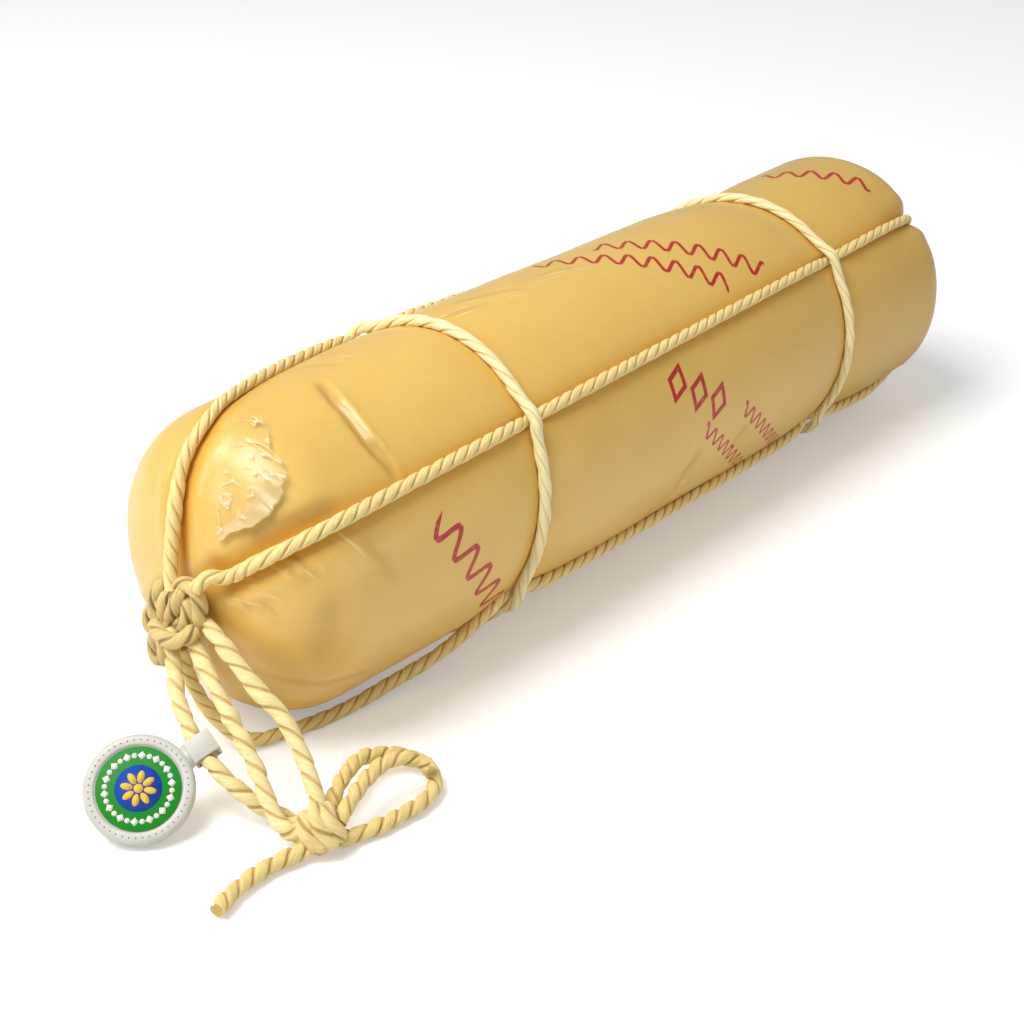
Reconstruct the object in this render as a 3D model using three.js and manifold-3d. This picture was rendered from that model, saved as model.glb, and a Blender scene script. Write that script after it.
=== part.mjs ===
// Log-shaped provolone lying on its side, netted with cord and hung with a round tag.
// Millimetres; X runs along the log to its far end, Z is up, the floor is z = 0.
import * as THREE from "three";
import { mergeVertices } from "three/addons/utils/BufferGeometryUtils.js";
import Module from "manifold-3d";

const wasm = await Module();
wasm.setup();

const DEG = Math.PI / 180;
const GAP = 0.33;

// Log of cheese.
const AXIS_HEIGHT = 64;
const HALF_LENGTH = 239;
const NEAR_CAP = { length: 42, power: 2.4 };
const FAR_CAP = { length: 36, power: 1.88 };
const RADIUS_KNOTS = [63.0, 64.3, 65.6, 65.2, 64.4, 63.4, 64.6];
const COLUMNS = 30;
const ROW_STEP = 34;

// Cord net, drawn tight, and the thicker loose cords.
const NET_RADIUS = 2.7;
const LOOSE_RADIUS = 3.2;
const CORD_SIDES = 8;
const NET_SIDES = 7;
const SPACE_SIDES = 6;
const CORD_SEAT = 1.2;
const RING_SEAT = 1.4;
const END_SINK = 6.5;
const CROSSING_SINK = 3;
const CROSSING_LIFT = 2 * NET_RADIUS + 0.8;
const RINGS = {
  near_ring: { x: -108.5, tiltY: 0.05, tiltZ: -0.182, waist: 1.2, spread: 16 },
  far_ring: { x: 120.6, tiltY: 0.114, tiltZ: -0.075, waist: 2.6, spread: 24 },
};
const LINES = {
  front: { middle: 139.4, slope: -0.0228, swing: 0 },
  top: { middle: 30, slope: 0, swing: 51 },
  under: { middle: -142, slope: 0.035, swing: 0 },
  back: { middle: -40, slope: 0, swing: 0 },
};
const SWING = { from: -212, fade: 125 };

// Round tag.
const TAG = { radius: 20.6, thickness: 4.8, print: 15.7 };
const TAG_CENTRE = new THREE.Vector3(-291, -30, 16.6);
const TAG_NORMAL = new THREE.Vector3(-0.477, -0.474, 0.74).normalize();
const TAG_TO_SLEEVE = new THREE.Vector3(0.878, -0.303, 0.37);

const COLOURS = {
  cheese: 0xdcb868,
  cord: 0xefd795,
  knot: 0xc9b06a,
  film: 0xf0dca6,
  tag: 0xd6d2c8,
  print: 0x108a1c,
};

const vec = (x, y, z) => new THREE.Vector3(x, y, z);
const bell = (distance, width) => Math.exp(-((distance / width) ** 2));

function catmull(values, place) {
  const last = values.length - 1;
  const i = Math.min(Math.max(Math.floor(place), 0), last - 1);
  const t = place - i;
  const at = (k) => values[Math.min(Math.max(k, 0), last)];
  const [a, b, c, d] = [at(i - 1), at(i), at(i + 1), at(i + 2)];
  const first = 2 * b + (c - a) * t;
  return 0.5 * (first + (2 * a - 5 * b + 4 * c - d) * t * t + (3 * b - a - 3 * c + d) * t ** 3);
}

function ringPlaneX(ring, y, height) {
  return ring.x - ring.tiltY * y - ring.tiltZ * height;
}

// Radius of the straight part, with waists under the rings and a sagging belly.
function trunkRadius(x, angle) {
  const place = ((x + HALF_LENGTH) / (2 * HALF_LENGTH)) * (RADIUS_KNOTS.length - 1);
  let radius = catmull(RADIUS_KNOTS, place);
  radius += 1.2 * Math.cos(angle - 60 * DEG) + 1.1 * bell(wrap(angle + 90 * DEG), 25 * DEG);
  for (const ring of Object.values(RINGS)) {
    const shift = ringPlaneX(ring, 65 * Math.cos(angle), 65 * Math.sin(angle));
    radius -= ring.waist * bell(x - shift - 5, ring.spread);
  }
  return radius;
}

function wrap(angle) {
  return Math.atan2(Math.sin(angle), Math.cos(angle));
}

function capScale(x) {
  const cap = x < 0 ? NEAR_CAP : FAR_CAP;
  const into = (Math.abs(x) - (HALF_LENGTH - cap.length)) / cap.length;
  if (into <= 0) return 1;
  return into >= 1 ? 0 : (1 - into ** cap.power) ** (1 / cap.power);
}

function logRadius(x, angle) {
  return trunkRadius(x, angle) * capScale(x);
}

function logPoint(x, angle, radius = logRadius(x, angle)) {
  return vec(x, radius * Math.cos(angle), AXIS_HEIGHT + radius * Math.sin(angle));
}

// Places along the log's length: close together over the rounded ends.
function capPlaces(cap, sign, steps) {
  const places = [];
  for (let i = 0; i < steps; i++) {
    const turn = ((i + 0.5) / steps) * 90 * DEG;
    places.push(sign * (HALF_LENGTH - cap.length + cap.length * Math.sin(turn) ** (2 / cap.power)));
  }
  return sign < 0 ? places.reverse() : places;
}

function trunkPlaces(step) {
  const from = -(HALF_LENGTH - NEAR_CAP.length);
  const to = HALF_LENGTH - FAR_CAP.length;
  const count = Math.round((to - from) / step);
  return Array.from({ length: count + 1 }, (_, i) => from + ((to - from) * i) / count);
}

function manifoldOf(geometry) {
  const merged = mergeVertices(positionsOnly(geometry), 1e-4);
  const mesh = new wasm.Mesh({
    numProp: 3,
    vertProperties: new Float32Array(merged.attributes.position.array),
    triVerts: new Uint32Array(merged.index.array),
  });
  return new wasm.Manifold(mesh);
}

function positionsOnly(geometry) {
  const plain = new THREE.BufferGeometry();
  plain.setAttribute("position", geometry.attributes.position.clone());
  if (geometry.index) plain.setIndex(geometry.index.clone());
  return plain;
}

function geometryOf(manifold) {
  const parts = manifold.decompose();
  parts.sort((a, b) => b.volume() - a.volume());
  const mesh = parts[0].getMesh();
  const geometry = new THREE.BufferGeometry();
  geometry.setAttribute("position", new THREE.BufferAttribute(new Float32Array(mesh.vertProperties), 3));
  geometry.setIndex(new THREE.BufferAttribute(new Uint32Array(mesh.triVerts), 1));
  geometry.computeVertexNormals();
  return geometry;
}

function logGeometry() {
  const rows = [...capPlaces(NEAR_CAP, -1, 7), ...trunkPlaces(ROW_STEP), ...capPlaces(FAR_CAP, 1, 7)];
  const points = [vec(-HALF_LENGTH, 0, AXIS_HEIGHT)];
  for (const x of rows) {
    for (let k = 0; k < COLUMNS; k++) {
      const point = logPoint(x, ((k / COLUMNS) * 360 - 90) * DEG);
      point.z = Math.max(point.z, 0);
      points.push(point);
    }
  }
  points.push(vec(HALF_LENGTH, 0, AXIS_HEIGHT));
  const faces = [];
  const at = (row, k) => 1 + row * COLUMNS + (k % COLUMNS);
  for (let k = 0; k < COLUMNS; k++) {
    faces.push(0, at(0, k + 1), at(0, k));
    faces.push(points.length - 1, at(rows.length - 1, k), at(rows.length - 1, k + 1));
    for (let row = 0; row + 1 < rows.length; row++) {
      faces.push(at(row, k), at(row, k + 1), at(row + 1, k + 1));
      faces.push(at(row, k), at(row + 1, k + 1), at(row + 1, k));
    }
  }
  const geometry = new THREE.BufferGeometry().setFromPoints(points);
  geometry.setIndex(faces);
  return geometry;
}

// Smooth curve that a sweep samples exactly at its own route points.
class Route extends THREE.Curve {
  constructor(points, closed = false) {
    super();
    this.smooth = new THREE.CatmullRomCurve3(points, closed, "centripetal");
    this.count = closed ? points.length : points.length - 1;
  }
  getPoint(t, target) {
    return this.smooth.getPoint(t, target);
  }
  getPointAt(u, target) {
    return this.smooth.getPoint(u, target);
  }
  getTangentAt(u, target) {
    return this.smooth.getTangent(u, target);
  }
}

function polygon(radius, sides) {
  const points = [];
  for (let i = 0; i < sides; i++) {
    const turn = ((i + 0.5) / sides) * 2 * Math.PI;
    points.push(new THREE.Vector2(radius * Math.cos(turn), radius * Math.sin(turn)));
  }
  return new THREE.Shape(points);
}

function sweep(route, radius, sides = CORD_SIDES, refine = 1) {
  const options = { steps: Math.ceil(route.count * refine), extrudePath: route, bevelEnabled: false };
  return manifoldOf(new THREE.ExtrudeGeometry(polygon(radius, sides), options));
}

// Radius of the space that a cord is given, measured to the corners of its section.
function spaceRadius(radius) {
  return (radius + GAP) / Math.cos(Math.PI / SPACE_SIDES);
}

// A little longer at both ends, so that a pocket is deeper than the cord in it.
function extended(points) {
  const [first, last] = [points[0].clone(), points[points.length - 1].clone()];
  first.add(first.clone().sub(points[1]).setLength(0.5));
  last.add(last.clone().sub(points[points.length - 2]).setLength(0.5));
  return new Route([first, ...points, last]);
}

function hoop(route, radius, sides) {
  return manifoldOf(new THREE.TubeGeometry(route, route.count, radius, sides, true));
}

function lineAngle(line, x) {
  const swing = line.swing * Math.exp((SWING.from - Math.max(x, SWING.from)) / SWING.fade);
  return (line.middle + line.slope * x + swing) * DEG;
}

function endSeat(x) {
  return CORD_SEAT - END_SINK * bell(x - 214, 24);
}

// Height of a lengthwise cord: it gives way under the rings and bites into the far end.
function seat(x, line) {
  let height = endSeat(x);
  for (const ring of Object.values(RINGS)) {
    height -= CROSSING_SINK * bell(x - crossingX(ring, line), 8);
  }
  return height;
}

function crossingX(ring, line) {
  let x = ring.x;
  for (let i = 0; i < 4; i++) {
    const angle = lineAngle(line, x);
    const radius = logRadius(x, angle);
    x = ringPlaneX(ring, radius * Math.cos(angle), radius * Math.sin(angle));
  }
  return x;
}

function onLog(x, angle, height) {
  const step = 0.5;
  const before = logPoint(x - step, angle, logRadius(Math.max(x - step, -HALF_LENGTH), angle));
  const after = logPoint(x + step, angle, logRadius(Math.min(x + step, HALF_LENGTH), angle));
  const along = after.sub(before).normalize();
  const outward = vec(0, Math.cos(angle), Math.sin(angle));
  outward.addScaledVector(along, -outward.dot(along)).normalize();
  return logPoint(x, angle).addScaledVector(outward, height);
}

function linePlaces(line) {
  const crossings = Object.values(RINGS).map((ring) => crossingX(ring, line));
  const clear = (x) => crossings.every((crossing) => Math.abs(x - crossing) > 20);
  const places = [...capPlaces(NEAR_CAP, -1, 6).slice(1), ...trunkPlaces(22).filter(clear)];
  for (const crossing of crossings) {
    for (const offset of [-14, -7, 0, 7, 14]) places.push(crossing + offset);
  }
  places.push(...capPlaces(FAR_CAP, 1, 6));
  return places.sort((a, b) => a - b);
}

function lineRoute(line, lift, from = -300) {
  const points = [];
  for (const x of linePlaces(line)) {
    if (x < from) continue;
    const angle = lineAngle(line, x);
    const fromPole = logRadius(x, angle);
    const raise = x > 0 ? lift * bell(fromPole, 13) : 0;
    points.push(onLog(x, angle, seat(x, line) + raise));
  }
  return points;
}

// Opens the grooves to the outside where the lengthwise cords bite deep into the far end.
function endOpenings() {
  return Object.values(LINES).map((line) => {
    const places = linePlaces(line).filter((x) => x > 180);
    const points = places.map((x) => onLog(x, lineAngle(line, x), seat(x, line) + 3.8));
    return sweep(new Route(points), spaceRadius(NET_RADIUS) + 0.6, SPACE_SIDES);
  });
}

function loopRoutes() {
  const top = lineRoute(LINES.top, 0, -236);
  const under = lineRoute(LINES.under, 0, -121).reverse();
  const front = lineRoute(LINES.front, CROSSING_LIFT);
  const back = lineRoute(LINES.back, CROSSING_LIFT).reverse();
  const pole = HALF_LENGTH + endSeat(HALF_LENGTH);
  const lowTurn = vec(pole, 0, AXIS_HEIGHT);
  const highTurn = vec(pole + CROSSING_LIFT, 0, AXIS_HEIGHT);
  const slack = [
    vec(-134, -46, 16.5), vec(-151, -42.5, 10.5), vec(-167, -38.5, 6.8), vec(-184, -36, 4.4),
    vec(-198, -33.5, 3.3), vec(-209, -31, 3.2), vec(-220, -27.5, 3.2), vec(-230, -24, 3.8),
    vec(-236.5, -18, 8), vec(-240.5, -11, 16), vec(-243, -6, 26), vec(-244.5, -3, 36), vec(-245, -3, 45),
  ];
  const topStart = [vec(-246, -1, 70), vec(-243.5, 1.5, 78)];
  const frontStart = [vec(-245.5, -15, 76), vec(-242.5, -19, 81)];
  const backEnd = [vec(-243, 11, 58), vec(-245, 7, 61)];
  return {
    cord_top_under: [...topStart, ...top, lowTurn, ...under, ...slack],
    cord_front_back: [...frontStart, ...front, highTurn, ...back, ...backEnd],
  };
}

// Centre of a ring at one angle: over the lengthwise cords, and never below the floor.
function ringPoint(ring, angle) {
  let x = ring.x;
  let radius = 65;
  for (let i = 0; i < 4; i++) {
    radius = logRadius(x, angle);
    x = ringPlaneX(ring, radius * Math.cos(angle), radius * Math.sin(angle));
  }
  let height = RING_SEAT;
  for (const line of Object.values(LINES)) {
    const apart = wrap(angle - lineAngle(line, x)) * radius;
    const over = CORD_SEAT - CROSSING_SINK + CROSSING_LIFT;
    height += (over - RING_SEAT) * bell(apart, 6.5);
  }
  const point = logPoint(x, angle, radius + height);
  point.z = Math.max(point.z, NET_RADIUS + 0.05);
  return point;
}

function ringRoute(ring) {
  const angles = Array.from({ length: 30 }, (_, i) => i * 12 * DEG);
  for (const line of Object.values(LINES)) {
    for (const offset of [-8, 0, 8]) angles.push(lineAngle(line, ring.x) + offset * DEG);
  }
  const turned = angles.map((a) => (a + 4 * Math.PI) % (2 * Math.PI)).sort((a, b) => a - b);
  const spaced = turned.filter((a, i) => i === 0 || a - turned[i - 1] > 3.4 * DEG);
  return new Route(spaced.map((angle) => ringPoint(ring, angle)), true);
}

function union(shapes) {
  return shapes.reduce((sum, shape) => sum.add(shape));
}

// Windings are drawn as they are seen from the near corner: across, up and towards the eye.
const END_KNOT = {
  centre: vec(-239, 4.4, 55.9),
  across: vec(0, -1.336, 0.478),
  up: vec(0, 0, 1.136),
  out: vec(-0.659, -0.583, 0.475),
  windings: [
    [[0.5, 7, 6.5], [4, 10.5, 8], [8.5, 9.5, 8.5], [11, 4, 8.5], [10.5, -1.5, 8.5], [8, -6, 8]],
    [[6, 9, 9], [2.5, 5.5, 11.5], [0, 1, 11.5], [-3, -2.5, 9.5], [-5.5, -5, 7.5]],
    [[6, 6, 9], [6.5, 0.5, 11], [4.5, -5, 11], [1.5, -9.5, 9], [-1, -12, 6.5]],
    [[4.5, -2, 8], [-1.5, -4, 10], [-3.8, -8.5, 9], [-0.5, -11.8, 7.5], [3.5, -8.5, 6.5]],
    [[-4.5, 11.5, 6], [-8.5, 6.5, 8], [-10, 0.5, 8.5], [-8, -6, 8], [-6, -10, 6]],
    [[-2, 7.5, 7.5], [-5, 2, 10], [-5.5, -3.5, 9.5], [-5.5, -9, 7]],
    [[-9.5, 1.5, 6], [-13, -2, 6.5], [-13.3, -6, 6.5], [-10, -8.5, 6]],
    [[-9.5, -7.5, 6], [-12.5, -12.5, 6], [-12, -18.5, 5.5], [-9.5, -22.5, 5]],
    [[-9.3, -10, 6], [-8, -13.5, 5.5], [-8.3, -18, 5.5], [-9.3, -22.3, 5]],
    [[-8, -6, 6], [-4, -9.5, 9.5], [1.5, -10.5, 11.5], [7, -7.5, 12], [10.5, -2, 9]],
  ],
};
const LOW_KNOT = {
  centre: vec(-256.2, -89.6, 8.5),
  across: vec(0.663, -0.749, 0),
  up: vec(0.356, 0.315, 0.88),
  out: vec(-0.659, -0.583, 0.475),
  windings: [
    [[-2.2, 9.5, -2], [-2, 3.6, 4.5], [2.6, -2.2, 5], [5.6, -5.8, 3]],
    [[1.2, 9, -3.5], [2.6, 4.6, 3.5], [5.8, 0.3, 4], [8, -3.6, 2.5]],
    [[-6.4, 6.6, -1], [-5.8, 1.2, 4.5], [-2.4, -4.2, 5], [1.8, -7, 2.5]],
    [[-9.5, -1.5, -1], [-6, -3.5, 1.5], [-1.5, -5.5, 1], [3.5, -3, 0]],
    [[-5, 3, -2], [0, 2, -1], [4, -2, -2]],
  ],
};
const WINDING_RADIUS = 3.15;

function windingPoints(knot, points) {
  return points.map(([across, up, out]) => knot.centre.clone()
    .addScaledVector(knot.across, across)
    .addScaledVector(knot.up, up)
    .addScaledVector(knot.out, out));
}

// Hitch or slip knot: its windings joined, kept above the floor.
function wound(knot) {
  const tubes = knot.windings.map((points) => (
    sweep(new Route(windingPoints(knot, points)), WINDING_RADIUS, 6, 0.6)
  ));
  const floor = block(60, 60, 20, knot.centre.x, knot.centre.y, -9.8);
  return union(tubes).subtract(floor);
}

const FREE_ROUTES = {
  tag_cord: [
    [-243.5, 3, 56], [-248, -1, 49.5], [-254.5, -9, 43], [-261, -18, 37], [-264.5, -26, 32.5],
    [-267, -32.5, 29.6], [-267.6, -38, 26], [-267.8, -45, 22], [-267, -53, 17.5],
    [-264, -60, 12], [-260, -65.5, 7], [-257, -71, 4.8], [-256, -77, 5],
  ],
  strand_left: [
    [-244, -6.5, 55.5], [-248.5, -16.5, 50.5], [-252.5, -29, 44], [-255, -40, 36], [-257.5, -51, 29],
    [-260.5, -61, 22.5], [-264, -70, 16.5], [-266, -78, 11.5], [-265.2, -83, 9.6], [-262.8, -85.8, 10.2],
  ],
  strand_right: [
    [-241.8, -11.5, 60.5], [-244.5, -23, 58.5], [-245.5, -36, 51.5], [-245, -47, 43.5], [-243.5, -56, 37.5],
    [-244.5, -64, 31], [-247, -72, 25], [-250, -79, 20], [-252, -83.5, 16.2], [-253.2, -86.5, 13],
  ],
  bow_outer: [
    [-246, -83.5, 10], [-239, -80, 13], [-230, -76, 13.5], [-220, -72.5, 12.5], [-211, -73, 10],
    [-204, -77, 8], [-200, -84, 6.5], [-201, -92, 5.2], [-206, -98, 4.4], [-215, -101, 4.1],
    [-225, -100.5, 3.9], [-236, -99, 3.7], [-247, -96, 4], [-253.5, -94, 4.8],
  ],
  bow_inner: [
    [-250.5, -92.5, 10.5], [-242, -90.5, 14.5], [-231, -87, 16], [-221, -86, 17],
    [-213, -88, 16.5], [-208, -91, 14], [-205.5, -95, 12.2],
  ],
  tail: [
    [-259, -92, 6], [-266, -89.5, 4.6], [-274, -87, 4], [-283, -86, 4], [-292, -86.5, 4],
    [-300, -88, 4], [-307, -90.5, 4],
  ],
};

function tagMatrix() {
  const out = TAG_NORMAL;
  const side = TAG_TO_SLEEVE.clone().addScaledVector(out, -TAG_TO_SLEEVE.dot(out)).normalize();
  const across = out.clone().cross(side);
  return new THREE.Matrix4().makeBasis(side, across, out).setPosition(TAG_CENTRE);
}

function lathe(profile, segments) {
  const points = profile.map(([r, z]) => new THREE.Vector2(r, z));
  return new THREE.LatheGeometry(points, segments).rotateX(Math.PI / 2);
}

function block(width, depth, height, x, y, z) {
  return manifoldOf(new THREE.BoxGeometry(width, depth, height).translate(x, y, z));
}

// Disc with a raised rim, and the square sleeve that the cord runs through.
function tagBody(cordSpace) {
  const half = TAG.thickness / 2;
  const disc = manifoldOf(lathe([
    [0, -half], [TAG.radius - 0.9, -half], [TAG.radius, 0.8 - half], [TAG.radius, half - 1.2],
    [TAG.radius - 1.3, half], [TAG.print + 0.9, half], [TAG.print + 0.4, half - 0.7], [0, half - 0.7],
  ], 36));
  const bridge = block(8, 9, 2.6, TAG.radius + 1.5, 0, 0.4);
  const sleeve = block(10.8, 9, 10.8, TAG.radius + 6.6, 0, -1.6);
  return union([disc, bridge, sleeve]).transform(tagMatrix().elements).subtract(cordSpace);
}

function tagPrint() {
  const top = TAG.thickness / 2 - 0.05;
  const profile = [[0, top - 0.3], [TAG.print, top - 0.3], [TAG.print, top], [0, top]];
  return manifoldOf(lathe(profile, 36)).transform(tagMatrix().elements);
}

// Loose scrap of torn wrapping film on the near shoulder, lifting towards its ragged edge.
function tornFilm() {
  const held = [[-206, 84], [-214, 87], [-221, 91], [-227, 96], [-231, 102], [-234, 108]];
  const ragged = [[-203, 98], [-209, 112], [-213, 124], [-219, 131], [-227, 132], [-234.5, 124]];
  const across = 4;
  const sheet = [0.4, 0.95].map((base) => held.flatMap(([x0, a0], i) => {
    const [x1, a1] = ragged[i];
    return Array.from({ length: across + 1 }, (_, k) => {
      const t = k / across;
      const lift = 2.6 * t * t + 0.5 * Math.sin(3.1 * i + 4 * t) ** 2;
      return onLog(x0 + (x1 - x0) * t, (a0 + (a1 - a0) * t) * DEG, base + lift);
    });
  }));
  const wide = across + 1;
  const size = held.length * wide;
  const faces = [];
  const quad = (a, b, c, d) => faces.push(a, b, c, a, c, d);
  for (let i = 0; i + 1 < held.length; i++) {
    for (let k = 0; k < across; k++) {
      const a = i * wide + k;
      quad(a, a + wide, a + wide + 1, a + 1);
      quad(size + a, size + a + 1, size + a + wide + 1, size + a + wide);
    }
    quad(i * wide, size + i * wide, size + (i + 1) * wide, (i + 1) * wide);
    const b = i * wide + across;
    quad(b, b + wide, size + b + wide, size + b);
  }
  const last = (held.length - 1) * wide;
  for (let k = 0; k < across; k++) {
    quad(k, k + 1, size + k + 1, size + k);
    quad(last + k, size + last + k, size + last + k + 1, last + k + 1);
  }
  const geometry = new THREE.BufferGeometry().setFromPoints(sheet.flat());
  geometry.setIndex(faces);
  const solid = manifoldOf(geometry);
  return solid.volume() > 0 ? solid : manifoldOf(flipped(geometry));
}

function flipped(geometry) {
  const index = geometry.index.array;
  for (let i = 0; i < index.length; i += 3) [index[i], index[i + 1]] = [index[i + 1], index[i]];
  return geometry;
}

const group = new THREE.Group();
group.name = "tied_provolone";

function place(name, manifold, slot, roughness) {
  const material = new THREE.MeshStandardMaterial({ color: COLOURS[slot], roughness });
  material.name = `${slot}_${name}`;
  const mesh = new THREE.Mesh(geometryOf(manifold), material);
  mesh.name = name;
  group.add(mesh);
}

const heldSpaces = [];
for (const [name, points] of Object.entries(loopRoutes())) {
  place(name, sweep(new Route(points), NET_RADIUS, NET_SIDES), "cord", 0.8);
  heldSpaces.push(sweep(extended(points), spaceRadius(NET_RADIUS), SPACE_SIDES));
}
const ringSpaces = [];
for (const [name, ring] of Object.entries(RINGS)) {
  const route = ringRoute(ring);
  place(name, hoop(route, NET_RADIUS, NET_SIDES), "cord", 0.8);
  ringSpaces.push(hoop(route, spaceRadius(NET_RADIUS), SPACE_SIDES));
}
const freeSpaces = {};
for (const [name, route] of Object.entries(FREE_ROUTES)) {
  const points = route.map((p) => vec(...p));
  place(name, sweep(new Route(points), LOOSE_RADIUS), "cord", 0.8);
  freeSpaces[name] = sweep(extended(points), spaceRadius(LOOSE_RADIUS), SPACE_SIDES);
}
const free = Object.values(freeSpaces);
const grooves = union([...heldSpaces, ...ringSpaces, ...endOpenings()]);
place("cheese", manifoldOf(logGeometry()).subtract(grooves), "cheese", 0.35);
place("knot_end", wound(END_KNOT).subtract(union([...heldSpaces, ...free])), "knot", 0.85);
place("knot_low", wound(LOW_KNOT).subtract(union(free)), "knot", 0.85);
place("tag", tagBody(freeSpaces.tag_cord), "tag", 0.5);
place("tag_print", tagPrint(), "print", 0.4);
place("torn_film", tornFilm(), "film", 0.2);

export default group;
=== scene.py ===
# Long provolone in a cord net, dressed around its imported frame. Lengths in the dictionaries are millimetres.
from math import atan2, ceil, cos, degrees, exp, floor, hypot, pi, radians, sin, sqrt

import bmesh
import bpy
from mathutils import Matrix, Vector, noise
from mathutils.kdtree import KDTree


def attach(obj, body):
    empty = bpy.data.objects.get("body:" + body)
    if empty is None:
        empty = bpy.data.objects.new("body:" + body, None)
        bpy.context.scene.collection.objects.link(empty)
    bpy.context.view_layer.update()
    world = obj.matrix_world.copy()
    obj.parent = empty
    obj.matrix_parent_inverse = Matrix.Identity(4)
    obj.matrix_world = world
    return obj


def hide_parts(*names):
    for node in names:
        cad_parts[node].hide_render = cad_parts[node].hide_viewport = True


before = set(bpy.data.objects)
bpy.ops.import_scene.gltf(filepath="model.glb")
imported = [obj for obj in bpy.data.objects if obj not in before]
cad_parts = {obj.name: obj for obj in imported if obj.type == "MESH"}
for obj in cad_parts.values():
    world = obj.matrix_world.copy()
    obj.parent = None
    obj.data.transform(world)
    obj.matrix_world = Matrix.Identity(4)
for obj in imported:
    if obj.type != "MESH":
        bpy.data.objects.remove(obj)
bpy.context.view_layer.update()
scene = bpy.context.scene
mm = 0.001


# camera

cameraSetup = {
    "place": (-622.8, -506.1, 436.6),
    "right": (0.6629, -0.7487, 0.0),
    "up": (0.3556, 0.3149, 0.8800),
    "lens": 66.8,
}


def makeCamera():
    data = bpy.data.cameras.new("photoCamera")
    data.lens = cameraSetup["lens"]
    data.sensor_width = 36.0
    data.clip_end = 20.0
    holder = bpy.data.objects.new("photoCamera", data)
    right = Vector(cameraSetup["right"]).normalized()
    up = Vector(cameraSetup["up"])
    up = (up - right * up.dot(right)).normalized()
    turn = Matrix((right, up, right.cross(up))).transposed()
    holder.matrix_world = Matrix.Translation(Vector(cameraSetup["place"]) * mm) @ turn.to_4x4()
    scene.collection.objects.link(holder)
    scene.camera = holder
    scene.view_settings.view_transform = "Standard"


makeCamera()
print("camera set")


# the log's form, the same as the frame's

log = {
    "axisHeight": 64.0,
    "halfLength": 239.0,
    "nearCap": (42.0, 2.4),  # length, roundness
    "farCap": (36.0, 1.88),
    "radii": (63.0, 64.3, 65.6, 65.2, 64.4, 63.4, 64.6),
    "usualRadius": 65.0,
    "fuller": (1.2, 60),  # how much, and towards which angle
    "sag": (1.1, 25),  # how far the belly hangs, and how wide in degrees
    "waistShift": 5,
}
rings = {
    "near": {"x": -108.5, "tiltY": 0.05, "tiltZ": -0.182, "waist": 1.2, "spread": 16.0},
    "far": {"x": 120.6, "tiltY": 0.114, "tiltZ": -0.075, "waist": 2.6, "spread": 24.0},
}
lines = {  # angle in the middle of the log, turn per millimetre, swing at the near end
    "front": (139.4, -0.0228, 0),
    "top": (30.0, 0.0, 51),
    "under": (-142.0, 0.035, 0),
    "back": (-40.0, 0.0, 0),
}
net = {
    "radius": 2.7, "seat": 1.2, "ringSeat": 1.4, "endSink": 6.5, "sink": 3.0, "lift": 6.2,
    "swingFrom": -212, "swingFade": 125, "sinkAt": 214, "sinkWidth": 24, "crossing": 8, "over": 6.5,
}


def bell(distance, width):
    return exp(-((distance / width) ** 2))


def wrapped(angle):
    return atan2(sin(angle), cos(angle))


def between(values, place):
    last = len(values) - 1
    i = min(max(int(floor(place)), 0), last - 1)
    t = place - i
    a, b, c, d = (values[min(max(k, 0), last)] for k in (i - 1, i, i + 1, i + 2))
    cubic = (3 * b - a - 3 * c + d) * t ** 3
    return 0.5 * (2 * b + (c - a) * t + (2 * a - 5 * b + 4 * c - d) * t * t + cubic)


def planeX(ring, y, z):
    return ring["x"] - ring["tiltY"] * y - ring["tiltZ"] * z


def trunkRadius(x, angle):
    half = log["halfLength"]
    radius = between(log["radii"], (x + half) / (2 * half) * (len(log["radii"]) - 1))
    fuller, towards = log["fuller"]
    sag, width = log["sag"]
    usual = log["usualRadius"]
    radius += fuller * cos(angle - radians(towards)) + sag * bell(wrapped(angle + pi / 2), radians(width))
    for ring in rings.values():
        shift = planeX(ring, usual * cos(angle), usual * sin(angle))
        radius -= ring["waist"] * bell(x - shift - log["waistShift"], ring["spread"])
    return radius


def capScale(x):
    length, power = log["nearCap"] if x < 0 else log["farCap"]
    into = (abs(x) - (log["halfLength"] - length)) / length
    if into <= 0:
        return 1.0
    return 0.0 if into >= 1 else (1 - into ** power) ** (1 / power)


def logRadius(x, angle):
    return trunkRadius(x, angle) * capScale(x)


def logPoint(x, angle, radius):
    return Vector((x, radius * cos(angle), log["axisHeight"] + radius * sin(angle)))


def onLog(x, angle, height):
    half = log["halfLength"]
    before = logPoint(x - 0.5, angle, logRadius(max(x - 0.5, -half), angle))
    after = logPoint(x + 0.5, angle, logRadius(min(x + 0.5, half), angle))
    along = (after - before).normalized()
    out = Vector((0, cos(angle), sin(angle)))
    out = (out - along * out.dot(along)).normalized()
    return logPoint(x, angle, logRadius(x, angle)) + out * height


# routes of the net, the same as the frame's

def lineAngle(line, x):
    swing = line[2] * exp((net["swingFrom"] - max(x, net["swingFrom"])) / net["swingFade"])
    return radians(line[0] + line[1] * x + swing)


def crossingX(ring, line):
    x = ring["x"]
    for _ in range(4):
        angle = lineAngle(line, x)
        radius = logRadius(x, angle)
        x = planeX(ring, radius * cos(angle), radius * sin(angle))
    return x


def endSink(x):  # how deep the lengthwise cords lie in the notch at the far end
    return net["endSink"] * bell(x - net["sinkAt"], net["sinkWidth"])


def endSeat(x):
    return net["seat"] - endSink(x)


def seatHeight(x, line):
    drop = sum(bell(x - crossingX(ring, line), net["crossing"]) for ring in rings.values())
    return endSeat(x) - net["sink"] * drop


def capPlaces(cap, sign, steps):
    length, power = cap
    start = log["halfLength"] - length
    turns = [radians((i + 0.5) / steps * 90) for i in range(steps)]
    places = [sign * (start + length * sin(turn) ** (2 / power)) for turn in turns]
    return places[::-1] if sign < 0 else places


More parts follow.
